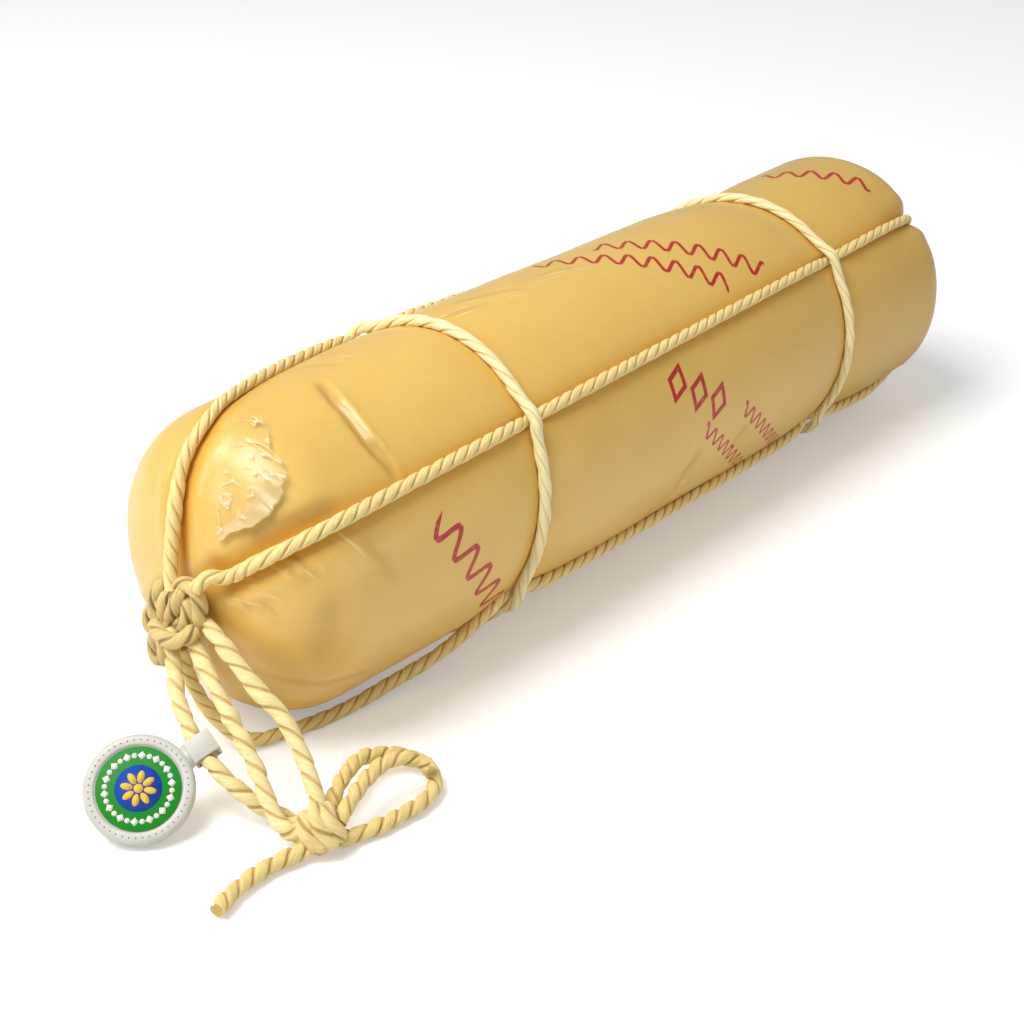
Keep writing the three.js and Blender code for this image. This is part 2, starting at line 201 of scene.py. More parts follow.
def linePlaces(line):
    crossings = [crossingX(ring, line) for ring in rings.values()]
    start = -(log["halfLength"] - log["nearCap"][0])
    end = log["halfLength"] - log["farCap"][0]
    count = round((end - start) / 22)
    trunk = [start + (end - start) * i / count for i in range(count + 1)]
    places = capPlaces(log["nearCap"], -1, 6)[1:]
    places += [x for x in trunk if all(abs(x - c) > 20 for c in crossings)]
    places += [c + step for c in crossings for step in (-14, -7, 0, 7, 14)]
    return sorted(places + capPlaces(log["farCap"], 1, 6))


def lineRoute(line, lift, start=-300):
    points = []
    for x in linePlaces(line):
        if x < start:
            continue
        angle = lineAngle(line, x)
        raised = lift * bell(logRadius(x, angle), 13) if x > 0 else 0
        points.append(onLog(x, angle, seatHeight(x, line) + raised))
    return points


def loopRoutes():
    top = lineRoute(lines["top"], 0, -236)
    under = lineRoute(lines["under"], 0, -121)[::-1]
    front = lineRoute(lines["front"], net["lift"])
    back = lineRoute(lines["back"], net["lift"])[::-1]
    pole = log["halfLength"] + endSeat(log["halfLength"])
    slack = [
        (-134, -46, 16.5), (-151, -42.5, 10.5), (-167, -38.5, 6.8), (-184, -36, 4.4),
        (-198, -33.5, 3.3), (-209, -31, 3.2), (-220, -27.5, 3.2), (-230, -24, 3.8),
        (-236.5, -18, 8), (-240.5, -11, 16), (-243, -6, 26), (-244.5, -3, 36), (-245, -3, 45),
    ]
    topUnder = [(-246, -1, 70), (-243.5, 1.5, 78), *top, (pole, 0, log["axisHeight"]), *under, *slack]
    frontBack = [
        (-245.5, -15, 76), (-242.5, -19, 81), *front, (pole + net["lift"], 0, log["axisHeight"]),
        *back, (-243, 11, 58), (-245, 7, 61),
    ]
    return {
        "cordTopUnder": [Vector(p) for p in topUnder],
        "cordFrontBack": [Vector(p) for p in frontBack],
    }


def ringPoint(ring, angle):
    x, radius = ring["x"], log["usualRadius"]
    for _ in range(4):
        radius = logRadius(x, angle)
        x = planeX(ring, radius * cos(angle), radius * sin(angle))
    height = net["ringSeat"]
    over = net["seat"] - net["sink"] + net["lift"]
    for line in lines.values():
        apart = wrapped(angle - lineAngle(line, x)) * radius
        height += (over - net["ringSeat"]) * bell(apart, net["over"])
    point = logPoint(x, angle, radius + height)
    point.z = max(point.z, net["radius"] + 0.05)
    return point


def ringRoute(ring):
    return [ringPoint(ring, radians(angle)) for angle in range(0, 360, 4)]


freeRoutes = {
    "tagCord": [
        (-243.5, 3, 56), (-248, -1, 49.5), (-254.5, -9, 43), (-261, -18, 37), (-264.5, -26, 32.5),
        (-267, -32.5, 29.6), (-267.6, -38, 26), (-267.8, -45, 22), (-267, -53, 17.5),
        (-264, -60, 12), (-260, -65.5, 7), (-257, -71, 4.8), (-256, -77, 5),
    ],
    "strandLeft": [
        (-244, -6.5, 55.5), (-248.5, -16.5, 50.5), (-252.5, -29, 44), (-255, -40, 36),
        (-257.5, -51, 29), (-260.5, -61, 22.5), (-264, -70, 16.5), (-266, -78, 11.5),
        (-265.2, -83, 9.6), (-262.8, -85.8, 10.2),
    ],
    "strandRight": [
        (-241.8, -11.5, 60.5), (-244.5, -23, 58.5), (-245.5, -36, 51.5), (-245, -47, 43.5),
        (-243.5, -56, 37.5), (-244.5, -64, 31), (-247, -72, 25), (-250, -79, 20),
        (-252, -83.5, 16.2), (-253.2, -86.5, 13),
    ],
    "bowOuter": [
        (-246, -83.5, 10), (-239, -80, 13), (-230, -76, 13.5), (-220, -72.5, 12.5), (-211, -73, 10),
        (-204, -77, 8), (-200, -84, 6.5), (-201, -92, 5.2), (-206, -98, 4.4), (-215, -101, 4.1),
        (-225, -100.5, 3.9), (-236, -99, 3.7), (-247, -96, 4), (-253.5, -94, 4.8),
    ],
    "bowInner": [
        (-250.5, -92.5, 10.5), (-242, -90.5, 14.5), (-231, -87, 16), (-221, -86, 17), (-213, -88, 16.5),
        (-208, -91, 14), (-205.5, -95, 12.2),
    ],
    "tailCord": [
        (-259, -92, 6), (-266, -89.5, 4.6), (-274, -87, 4), (-283, -86, 4), (-292, -86.5, 4),
        (-300, -88, 4), (-307, -90.5, 4),
    ],
}


# twisted cord

ropes = {  # groove: depth and width; taper: least share, rise, whether at both ends
    "net": {"radius": 2.85, "strands": 3, "pitch": 22.0, "step": 1.1, "uneven": 0.08, "groove": (0.26, 0.22)},
    "ring": {"radius": 2.7, "strands": 3, "pitch": 31.0, "step": 1.2, "uneven": 0.12, "groove": (0.2, 0.22)},
    "free": {
        "radius": 3.5, "strands": 2, "pitch": 20.0, "step": 0.9, "uneven": 0.2, "groove": (0.3, 0.36),
        "taper": (0.4, 0.1, False),
    },
    "bow": {"radius": 3.3, "strands": 2, "pitch": 15.0, "step": 0.9, "uneven": 0.18, "groove": (0.3, 0.36)},
    "knot": {
        "radius": 3.25, "strands": 2, "pitch": 26.0, "step": 0.9, "uneven": 0.08, "groove": (0.34, 0.32),
        "taper": (0.35, 0.3, True),
    },
}
blendOver = 15.0  # length over which a closed cord's unevenness meets its own start
fibreReach = 3.75  # radius of a cord in the space that its fibres are drawn in


def netThickness(point):  # the tight net is thinner at the far end and over the near shoulder
    shoulder = bell(point.x + 205, 30) * (1 if point.z > 108 else 0)
    return 1.06 - 0.19 * min(1, max(0, (point.x + 220) / 400)) - 0.2 * shoulder


def smoothPath(points, step, closed=False):
    points = [Vector(p) for p in points]
    count = len(points)
    path = []
    for i in range(count if closed else count - 1):
        if closed:
            a, b, c, d = (points[(i + k) % count] for k in (-1, 0, 1, 2))
        else:
            b, c = points[i], points[i + 1]
            a = points[i - 1] if i else b * 2 - c
            d = points[i + 2] if i + 2 < count else c * 2 - b
        steps = max(1, ceil((c - b).length / step))
        gaps = [max((q - p).length ** 0.5, 1e-3) for p, q in ((a, b), (b, c), (c, d))]
        first = ((b - a) / gaps[0] - (c - a) / (gaps[0] + gaps[1]) + (c - b) / gaps[1]) * gaps[1]
        last = ((c - b) / gaps[1] - (d - b) / (gaps[1] + gaps[2]) + (d - c) / gaps[2]) * gaps[1]
        for k in range(steps):
            t = k / steps
            cubic = (b - c) * 2 + first + last
            path.append(b + first * t + (c * 3 - b * 3 - first * 2 - last) * t * t + cubic * t ** 3)
    return path if closed else path + [points[-1]]


def strandProfile(rope, count=48):
    ring = []
    strands = rope["strands"]
    depth, width = rope["groove"]
    for i in range(count):
        angle = 2 * pi * i / count
        apart = abs(wrapped(angle * strands)) / strands
        radius = 1 - 0.06 * (apart * strands / pi) ** 2 - depth * bell(pi / strands - apart, width)
        ring.append((radius + 0.012 * sin(11 * angle + 1) + 0.009 * sin(17 * angle), angle))
    return ring


def profileCurve(name, profile, radius):
    shape = bpy.data.curves.new(name + "Profile", "CURVE")
    shape.dimensions = "2D"
    spline = shape.splines.new("POLY")
    spline.points.add(len(profile) - 1)
    for point, (share, angle) in zip(spline.points, profile):
        reach = share * radius * mm
        point.co = (reach * cos(angle), reach * sin(angle), 0, 1)
    spline.use_cyclic_u = True
    holder = bpy.data.objects.new(name + "Profile", shape)
    scene.collection.objects.link(holder)
    return holder


def unevenness(far, total, turnFrom, closed):
    swell = noise.noise(Vector((far * 0.16, turnFrom + 5, 3)))
    if closed and far > total - blendOver:
        early = noise.noise(Vector(((far - total) * 0.16, turnFrom + 5, 3)))
        swell += (early - swell) * (far - total + blendOver) / blendOver
    return swell


def twistedCord(name, points, rope, closed=False, turnFrom=0.0, thickness=None):
    path = smoothPath(points, rope["step"], closed)
    profile = strandProfile(rope)
    shapeHolder = profileCurve(name, profile, rope["radius"])
    travelled = [0.0]
    for a, b in zip(path, path[1:]):
        travelled.append(travelled[-1] + (b - a).length)
    total = travelled[-1] + ((path[0] - path[-1]).length if closed else 0)
    turns = total / rope["pitch"]
    if closed:
        turns = round(turns)
    line = bpy.data.curves.new(name + "Line", "CURVE")
    line.dimensions = "3D"
    line.bevel_mode = "OBJECT"
    line.bevel_object = shapeHolder
    line.use_fill_caps = not closed
    spline = line.splines.new("POLY")
    spline.points.add(len(path) - 1)
    for point, place, far in zip(spline.points, path, travelled):
        point.co = (*(place * mm), 1)
        wobble = noise.noise(Vector((far * 0.05, turnFrom, 0)))
        point.tilt = turnFrom - 2 * pi * turns * far / total + 0.6 * wobble * (not closed)
        swell = unevenness(far, total, turnFrom, closed)
        point.radius = (1.0 - rope["uneven"] * (0.4 - swell)) * (thickness(place) if thickness else 1)
        if "taper" in rope:
            least, rise, bothEnds = rope["taper"]
            point.radius *= min(1, least + rise * (min(far, total - far) if bothEnds else far))
    spline.use_cyclic_u = closed
    lineHolder = bpy.data.objects.new(name + "Line", line)
    scene.collection.objects.link(lineHolder)
    bpy.context.view_layer.update()
    seen = lineHolder.evaluated_get(bpy.context.evaluated_depsgraph_get())
    mesh = bpy.data.meshes.new_from_object(seen)
    mesh.name = name
    strandSpace(mesh, profile, travelled)
    for holder in (lineHolder, shapeHolder):
        data = holder.data
        bpy.data.objects.remove(holder)
        bpy.data.curves.remove(data)
    piece = bpy.data.objects.new(name, mesh)
    scene.collection.objects.link(piece)
    mesh.polygons.foreach_set("use_smooth", [True] * len(mesh.polygons))
    return piece, path


def strandSpace(mesh, profile, travelled):  # place across the untwisted cord, and along it
    values = []
    for i in range(len(mesh.vertices)):
        reach, angle = profile[i % len(profile)]
        far = travelled[min(i // len(profile), len(travelled) - 1)]
        values += [fibreReach * reach * cos(angle), fibreReach * reach * sin(angle), far]
    mesh.attributes.new("strandSpace", "FLOAT_VECTOR", "POINT").data.foreach_set("vector", values)


freeCords = {}
bowCords = ("bowOuter", "bowInner", "tailCord")


def makeFreeCords():
    for i, (name, points) in enumerate(freeRoutes.items()):
        rope = ropes["bow" if name in bowCords else "free"]
        freeCords[name] = twistedCord(name, points, rope, turnFrom=1.7 * i)


makeFreeCords()
print("free cords made")


# materials

def newMaterial(name):
    material = bpy.data.materials.new(name)
    material.use_nodes = True
    shader = material.node_tree.nodes["Principled BSDF"]
    return material, material.node_tree, shader


def node(tree, kind, **values):
    made = tree.nodes.new(kind)
    for key, value in values.items():
        if hasattr(made, key):
            setattr(made, key, value)
        else:
            made.inputs[key].default_value = value
    return made


def sums(tree, operation, a, b=None, clamp=False):
    made = tree.nodes.new("ShaderNodeMath")
    made.operation = operation
    made.use_clamp = clamp
    for socket, value in zip(made.inputs, (a, b)):
        if value is None:
            continue
        if isinstance(value, (int, float)):
            socket.default_value = value
        else:
            tree.links.new(value, socket)
    return made.outputs[0]


def remap(tree, value, start, end, low, high, smooth=False):
    made = tree.nodes.new("ShaderNodeMapRange")
    if smooth:
        made.interpolation_type = "SMOOTHSTEP"
    for socket, number in zip(("From Min", "From Max", "To Min", "To Max"), (start, end, low, high)):
        made.inputs[socket].default_value = number
    tree.links.new(value, made.inputs["Value"])
    return made.outputs[0]


def apartXYZ(tree, vector):
    made = tree.nodes.new("ShaderNodeSeparateXYZ")
    tree.links.new(vector, made.inputs[0])
    return made.outputs


def texture(tree, vector, **values):
    made = node(tree, "ShaderNodeTexNoise", **values)
    tree.links.new(vector, made.inputs["Vector"])
    return made.outputs["Fac"]


def bumped(tree, height, strength, distance):
    made = node(tree, "ShaderNodeBump", Strength=strength, Distance=distance)
    tree.links.new(height, made.inputs["Height"])
    return made


def blendColour(tree, amount, low, high):
    made = tree.nodes.new("ShaderNodeMix")
    made.data_type = "RGBA"
    made.clamp_factor = True
    for index, value in ((0, amount), (6, low), (7, high)):
        if isinstance(value, bpy.types.NodeSocket):
            tree.links.new(value, made.inputs[index])
        else:
            made.inputs[index].default_value = value
    return made.outputs[2]


def colour(code):  # written as the hex value that the eye sees
    parts = [int(code[i:i + 2], 16) / 255 for i in (0, 2, 4)]
    linear = [p / 12.92 if p <= 0.04045 else ((p + 0.055) / 1.055) ** 2.4 for p in parts]
    return (*linear, 1.0)


def shaderGroup(name, taken, given):
    tree = bpy.data.node_groups.new(name, "ShaderNodeTree")
    for way, sockets in (("INPUT", taken), ("OUTPUT", given)):
        for socket, kind in sockets.items():
            tree.interface.new_socket(socket, in_out=way, socket_type="NodeSocket" + kind)
    return tree, tree.nodes.new("NodeGroupInput"), tree.nodes.new("NodeGroupOutput")


def fibreGroup():
    tree, source, sink = shaderGroup(
        "fibresAndGrooveShade",
        {"Strand": "Vector", "Light": "Color", "Shade": "Color"},
        {"Color": "Color", "Normal": "Vector", "Rough": "Float"},
    )
    link = tree.links.new
    stretch = tree.nodes.new("ShaderNodeMapping")
    stretch.inputs["Scale"].default_value = (2.6, 2.6, 0.16)
    link(source.outputs["Strand"], stretch.inputs["Vector"])
    fibre = texture(tree, stretch.outputs[0], Scale=1.0, Detail=5.0, Roughness=0.6)
    blotch = texture(tree, source.outputs["Strand"], Scale=0.11, Detail=3.0)
    flat = tree.nodes.new("ShaderNodeVectorMath")
    flat.operation = "MULTIPLY"
    flat.inputs[1].default_value = (1, 1, 0)
    link(source.outputs["Strand"], flat.inputs[0])
    reach = tree.nodes.new("ShaderNodeVectorMath")
    reach.operation = "LENGTH"
    link(flat.outputs[0], reach.inputs[0])
    # painted shade and highlight: darker in the grooves between strands, lighter on their crowns
    ridge = remap(tree, reach.outputs["Value"], 2.75, 3.5, 0, 1)
    # fine crinkle folds, bumped and painted darker along their lines as shade
    fold = texture(tree, stretch.outputs[0], Scale=0.55, Detail=3.0, Distortion=0.4)
    fold = sums(tree, "ABSOLUTE", sums(tree, "SUBTRACT", fold, 0.5))
    fold = sums(tree, "MULTIPLY", fold, 26.0, True)
    streak = remap(tree, fibre, 0.35, 0.62, 0, 1)
    bright = sums(tree, "MULTIPLY", ridge, 0.46)
    bright = sums(tree, "ADD", bright, sums(tree, "MULTIPLY", streak, 0.2))
    bright = sums(tree, "ADD", bright, sums(tree, "MULTIPLY", fold, 0.24))
    bright = sums(tree, "ADD", bright, sums(tree, "MULTIPLY", blotch, 0.2), True)
    link(blendColour(tree, bright, source.outputs["Shade"], source.outputs["Light"]), sink.inputs["Color"])
    bump = bumped(tree, sums(tree, "ADD", fibre, sums(tree, "MULTIPLY", fold, 0.4)), 0.55, 0.0004)
    link(bump.outputs[0], sink.inputs["Normal"])
    link(remap(tree, fibre, 0, 1, 0.45, 0.75), sink.inputs["Rough"])
    return tree


fibresAndGrooveShade = fibreGroup()
# each straw: the colour of its lit strand crowns, and the painted shade in its grooves
straws = {
    "netStraw": {"light": "FFE79C", "shade": "C48F34"},
    "ringStraw": {"light": "FFF3BC", "shade": "D9A64C"},
    "freeStraw": {"light": "FDEAA8", "shade": "C2923C"},
    "bowStraw": {"light": "FAE192", "shade": "B4822E"},
    "knotStraw": {"light": "E6CA80", "shade": "6E4A16"},
    "lowKnotStraw": {"light": "F6DE96", "shade": "A87628"},
}


def strawMaterial(name):
    material, tree, shader = newMaterial(name)
    space = node(tree, "ShaderNodeAttribute", attribute_name="strandSpace")
    straw = tree.nodes.new("ShaderNodeGroup")
    straw.node_tree = fibresAndGrooveShade
    straw.inputs["Light"].default_value = colour(straws[name]["light"])
    straw.inputs["Shade"].default_value = colour(straws[name]["shade"])
    tree.links.new(space.outputs["Vector"], straw.inputs["Strand"])
    tree.links.new(straw.outputs["Color"], shader.inputs["Base Color"])
    tree.links.new(straw.outputs["Normal"], shader.inputs["Normal"])
    tree.links.new(straw.outputs["Rough"], shader.inputs["Roughness"])
    shader.inputs["Specular IOR Level"].default_value = 0.5
    shader.inputs["Sheen Weight"].default_value = 0.15
    return material


strawLooks = {name: strawMaterial(name) for name in straws}


def dress(piece, look, slot, *nodes):
    piece.data.materials.clear()
    piece.data.materials.append(look)
    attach(piece, "root")
    if nodes:
        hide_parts(*nodes)


freeNodes = {  # the frame's node, and what the far end has
    "tagCord": ("tag_cord", "knot"), "strandLeft": ("strand_left", "knot"),
    "strandRight": ("strand_right", "knot"), "bowOuter": ("bow_outer", "knot"),
    "bowInner": ("bow_inner", "knot"), "tailCord": ("tail", "bare"),
}


def declareFreeCords():
    for name, (slot, end) in freeNodes.items():
        piece, path = freeCords[name]
        look = "bowStraw" if name in bowCords else "freeStraw"
        dress(piece, strawLooks[look], slot, slot)


declareFreeCords()


# the net

netPaths = []


def makeNet():
    for name, points in loopRoutes().items():
        slot = {"cordTopUnder": "cord_top_under", "cordFrontBack": "cord_front_back"}[name]
        piece, path = twistedCord(name, points, ropes["net"], turnFrom=0.4, thickness=netThickness)
        dress(piece, strawLooks["netStraw"], slot, slot)
        netPaths.append(path)
    for name, ring in rings.items():
        route = ringRoute(ring)
        piece, path = twistedCord(name + "Ring", route, ropes["ring"], closed=True, thickness=netThickness)
        dress(piece, strawLooks["ringStraw"], name + "_ring", name + "_ring")
        netPaths.append(path)


makeNet()
print("net made")


# knots, wound along the frame's own windings: across, up and towards the eye at the near corner

knots = {
    "endKnot": {
        "look": "knotStraw", "slot": "knot_end", "centre": (-239, 4.4, 55.9),
        "across": (0, -1.336, 0.478), "up": (0, 0, 1.136), "out": (-0.659, -0.583, 0.475),
        "windings": (
            [(0.5, 7, 6.5), (4, 10.5, 8), (8.5, 9.5, 8.5), (11, 4, 8.5), (10.5, -1.5, 8.5), (8, -6, 8)],
            [(6, 9, 9), (2.5, 5.5, 11.5), (0, 1, 11.5), (-3, -2.5, 9.5), (-5.5, -5, 7.5)],
            [(6, 6, 9), (6.5, 0.5, 11), (4.5, -5, 11), (1.5, -9.5, 9), (-1, -12, 6.5)],
            [(4.5, -2, 8), (-1.5, -4, 10), (-3.8, -8.5, 9), (-0.5, -11.8, 7.5), (3.5, -8.5, 6.5)],
            [(-4.5, 11.5, 6), (-8.5, 6.5, 8), (-10, 0.5, 8.5), (-8, -6, 8), (-6, -10, 6)],
            [(-2, 7.5, 7.5), (-5, 2, 10), (-5.5, -3.5, 9.5), (-5.5, -9, 7)],
            [(-9.5, 1.5, 6), (-13, -2, 6.5), (-13.3, -6, 6.5), (-10, -8.5, 6)],
            [(-9.5, -7.5, 6), (-12.5, -12.5, 6), (-12, -18.5, 5.5), (-9.5, -22.5, 5)],
            [(-9.3, -10, 6), (-8, -13.5, 5.5), (-8.3, -18, 5.5), (-9.3, -22.3, 5)],
            [(-10, -5, 11), (-7.5, -8, 18), (-4, -10, 21), (1, -11, 21), (6, -9, 17.5), (9.5, -5, 10)],
        ),
    },
    "lowKnot": {
        "look": "lowKnotStraw", "slot": "knot_low", "centre": (-256.2, -89.6, 8.5),
        "across": (0.663, -0.749, 0), "up": (0.356, 0.315, 0.88), "out": (-0.659, -0.583, 0.475),
        "windings": (
            [(-2.2, 9.5, -2), (-2, 3.6, 4.5), (2.6, -2.2, 5), (5.6, -5.8, 3)],
            [(1.2, 9, -3.5), (2.6, 4.6, 3.5), (5.8, 0.3, 4), (8, -3.6, 2.5)],
            [(-6.4, 6.6, -1), (-5.8, 1.2, 4.5), (-2.4, -4.2, 5), (1.8, -7, 2.5)],
            [(-9.5, -1.5, -1), (-6, -3.5, 1.5), (-1.5, -5.5, 1), (3.5, -3, 0)],
            [(-5, 3, -2), (0, 2, -1), (4, -2, -2)],
        ),
    },
}


def windingPoints(knot, points):
    centre, across, up, out = (Vector(knot[key]) for key in ("centre", "across", "up", "out"))
    placed = [centre + across * a + up * b + out * c for a, b, c in points]
    return [Vector((p.x, p.y, max(p.z, ropes["knot"]["radius"] + 0.15))) for p in placed]


def pieceFrom(name, form):
    mesh = bpy.data.meshes.new(name)
    form.to_mesh(mesh)
    form.free()
    mesh.polygons.foreach_set("use_smooth", [True] * len(mesh.polygons))
    piece = bpy.data.objects.new(name, mesh)
    scene.collection.objects.link(piece)
    return piece


def joined(name, pieces):
    whole = bmesh.new()
    for piece in pieces:
        whole.from_mesh(piece.data)
        bpy.data.objects.remove(piece)
    return pieceFrom(name, whole)


def makeKnots():
    for name, knot in knots.items():
        turns = [
            twistedCord(f"{name}{i}", windingPoints(knot, points), ropes["knot"], turnFrom=i)[0]
            for i, points in enumerate(knot["windings"])
        ]
        dress(joined(name, turns), strawLooks[knot["look"]], knot["slot"], knot["slot"])


makeKnots()
print("knots made")


# the cheese

cheese = {
    "around": 240,
    "rows": 400,
    "cordClear": 2.8,
    "lumps": (0.5, 0.018),  # height, and turns of noise per millimetre
    "dimples": (0.16, 0.07),
    "valley": (0.6, 7.5),  # how far the skin dips beside a cord, and how wide
    "tightValley": (1.9, 13),  # the same at the ends of the log
    "notch": ((0.42, 13), (0.4, 6)),  # shares of the sunk cord's depth, and how wide
    "cheek": (1.5, 10.0, 4.5),  # how far the skin swells beyond the dip at the ends
    "ends": (-232, 226, 30),  # middles of both ends, and how far they reach
    "spine": (-190, 196),
    "paintedShadeFade": (3, 4.5),  # where the painted shade beside a cord starts to fade, and how wide
    "cutAt": -62,  # degrees where the skin's own space begins, on the hidden side
    "perDegree": 1.12,
}
creases = (  # route over the log, height of the ridge, depth of the hollow, width, place of the hollow
    (((-162.5, 90), (-168, 106), (-170.5, 123), (-168.5, 142)), 1.0, 2.7, 1.3, -3.5),
    (((-157, 70), (-150, 78), (-144, 87)), 0.6, 0.4, 1.4, -3),
    (((-141, 66), (-135, 76)), 0.5, 0.3, 1.4, -3),
    (((-100, 82), (-82, 88), (-62, 92)), 0.8, 0.5, 1.5, 3.4),
    (((-76, 78), (-60, 85), (-42, 92)), 0.8, 0.5, 1.5, 3.4),
    (((-30, 85), (-16, 89), (-2, 93)), 0.6, 0.4, 1.5, 3.2),
    (((-4, 207), (-1, 195), (9, 187)), 0.9, 0.7, 1.3, 3),
    (((32, 197), (45, 189)), 0.8, 0.6, 1.3, 3),
    (((-236.5, 160), (-235, 177)), 0.7, 0.5, 0.8, 1.8),
    (((-234, 166), (-230.5, 178)), 0.7, 0.5, 0.8, 1.8),
    (((-228, 150), (-221.5, 164)), 0.8, 0.5, 0.9, 2),
    (((-225, 148), (-219, 162)), 0.8, 0.5, 0.9, 2),
    (((-227, 145), (-223, 152)), 0.8, 0.5, 0.8, 1.8),
    (((-215, 164), (-219, 182), (-220, 200)), 0, 0.7, 3.6, 0),
    (((-233, 222), (-222, 214), (-208, 212), (-192, 215)), 0.5, 0.6, 1.2, 2.6),
    (((-233, 128), (-226, 136), (-212, 139), (-198, 139)), 0, 1.4, 3.2, 0),
    (((-206, 150), (-196, 163), (-192, 176)), 0.4, 0.4, 2.2, 4.5),
)


def creaseLines():
    made = []
    for route, ridge, hollow, width, beside in creases:
        spots = [onLog(x, radians(angle), 0) for x, angle in route]
        middle = sum(spots, Vector()) / len(spots)
        reach = max((spot - middle).length for spot in spots) + 3 * width + beside
        made.append((spots, middle, reach, ridge, hollow, width, beside))
    return made


drawnCreases = creaseLines()


def creaseRelief(point, out):
    relief = 0.0
    for spots, middle, reach, ridge, hollow, width, beside in drawnCreases:
        if (point - middle).length > reach:
            continue
        nearest = None
        for k, (a, b) in enumerate(zip(spots, spots[1:])):
            run = b - a
            t = min(max((point - a).dot(run) / run.length_squared, 0), 1)
            gap = point - a - run * t
            if nearest is None or gap.length < abs(nearest[0]):
                side = 1 if out.dot(run.cross(gap)) >= 0 else -1
                nearest = (side * gap.length, (k + t) / (len(spots) - 1))
        away, share = nearest
        away += 0.7 * noise.noise(point * 0.12)
        fade = min(share, 1 - share, 0.25) * 4
        relief += fade * (ridge * bell(away, width) - hollow * bell(away - beside, 1.7 * width))
    return relief


def netTree():
    spots = [p for path in netPaths for p in path]
    tree = KDTree(len(spots))
    for i, spot in enumerate(spots):
        tree.insert(spot, i)
    tree.balance()
    return tree


netSpots = netTree()


def atEnds(x):
    near, far, reach = cheese["ends"]
    return bell(min(abs(x - near), abs(x - far)), reach)


def skinOffset(x, point, near, crease):
    high, fine = cheese["lumps"]
    offset = high * noise.noise(point * fine)
    high, fine = cheese["dimples"]
    offset += high * noise.noise(point * fine + Vector((9, 2, 4)))
    depth, width = cheese["valley"]
    tight, reach = cheese["tightValley"]
    swell, away, spread = cheese["cheek"]
    ends = atEnds(x)
    sunk = endSink(x)
    aside = sqrt(max(near ** 2 - max(sunk - net["seat"], 0) ** 2, 0))
    offset -= sunk * sum(share * bell(aside, wide) for share, wide in cheese["notch"])
    offset -= depth * bell(near, width) + tight * bell(near, reach) * ends
    return offset + crease + swell * bell(near - away, spread) * ends


def pressed(point, centre):  # pushed inwards until it is clear of every cord
    for _ in range(3):
        near = netSpots.find(point)[2]
        if near >= cheese["cordClear"]:
            break
        inward = (centre - point).normalized()
        point = point + inward * (cheese["cordClear"] - near) * 1.05
    return point


def profileTable(count=1200):  # places along the log with the share of its radius, and the way run so far
    half = log["halfLength"]
    table = []
    for sign, (length, power) in ((-1, log["nearCap"]), (1, log["farCap"])):
        arc = []
        for i in range(count + 1):
            turn = radians(90 * i / count)
            arc.append((sign * (half - length + length * sin(turn) ** (2 / power)), cos(turn) ** (2 / power)))
        table += arc[::-1] if sign < 0 else arc
    far = [0.0]
    for (x0, s0), (x1, s1) in zip(table, table[1:]):
        far.append(far[-1] + hypot(x1 - x0, log["usualRadius"] * (s1 - s0)))
    return table, far


def placeOn(table, far, share):
    goal = share * far[-1]
    low, high = 0, len(far) - 1
    while high - low > 1:
        middle = (low + high) // 2
        low, high = (middle, high) if far[middle] <= goal else (low, middle)
    t = (goal - far[low]) / max(far[high] - far[low], 1e-9)
    (x0, s0), (x1, s1) = table[low], table[high]
    return x0 + (x1 - x0) * t, s0 + (s1 - s0) * t


def skinPoint(x, scale, angle):
    point = logPoint(x, angle, trunkRadius(x, angle) * scale)
    first, last = cheese["spine"]
    centre = Vector((min(max(x, first), last), 0, log["axisHeight"]))
    out = (point - centre).normalized()
    near = netSpots.find(point)[2]
    crease = creaseRelief(point, out)
    # skinShade: painted shade beside the cords, painted shade in the crease hollows, and nearness to the ends
    fadeFrom, wide = cheese["paintedShadeFade"]
    shade = (bell(max(near - fadeFrom, 0), wide), min(max(-crease, 0), 1), atEnds(x))
    point = pressed(point + out * skinOffset(x, point, near, crease), centre)
    point.z = max(point.z, 0.0)
    return point, shade


def makeCheese():
    table, far = profileTable()
    form = bmesh.new()
    bmesh.ops.create_uvsphere(form, u_segments=cheese["around"], v_segments=cheese["rows"], radius=1.0)
    space = form.verts.layers.float_vector.new("skinSpace")
    shades = form.verts.layers.float_vector.new("skinShade")
    for vert in form.verts:
        share = 0.5 + atan2(vert.co.z, hypot(vert.co.x, vert.co.y)) / pi
        angle = atan2(vert.co.y, vert.co.x)
        x, scale = placeOn(table, far, share)
        point, vert[shades] = skinPoint(x, scale, angle)
        vert.co = point * mm
        turn = degrees(angle)
        turn += 360 if turn < cheese["cutAt"] else 0
        vert[space] = (x, turn * cheese["perDegree"], scale)
    bmesh.ops.recalc_face_normals(form, faces=form.faces)
    return pieceFrom("cheeseLog", form)


waves = {  # middle across and around in skin millimetres, tilt, length, height, wavelength, thickness
    "nearWave": (-139, 214, 57, 86, 5.2, 14.0, 1.25),
    "topWave": (20, 112, 43, 92, 4.4, 11.0, 1.05),
    "topWaveTwo": (50, 116, 43, 84, 4.4, 11.0, 1.05),
    "farWave": (178, 105, 55, 56, 4.0, 12.0, 1.05),
    "sideWave": (32, 222, 42, 70, 2.8, 8.0, 0.8),
    "sideWaveTwo": (62, 222, 42, 70, 2.8, 8.0, 0.8),
}
lozenges = {"middle": (4, 181), "tilt": 33, "halfLength": 22.5, "height": 9.5, "spacing": 15.0, "line": 0.44}


def markSpace(tree, skin, middle, tilt):  # along and across a mark on the skin, from its middle
    place = tree.nodes.new("ShaderNodeMapping")
    place.vector_type = "TEXTURE"
    tree.links.new(skin, place.inputs["Vector"])
    for value, socket in ((middle, "Location"), (tilt, "Rotation")):
        if isinstance(value, tuple):
            place.inputs[socket].default_value = value
        else:
            tree.links.new(value, place.inputs[socket])
    return apartXYZ(tree, place.outputs[0])[:2]


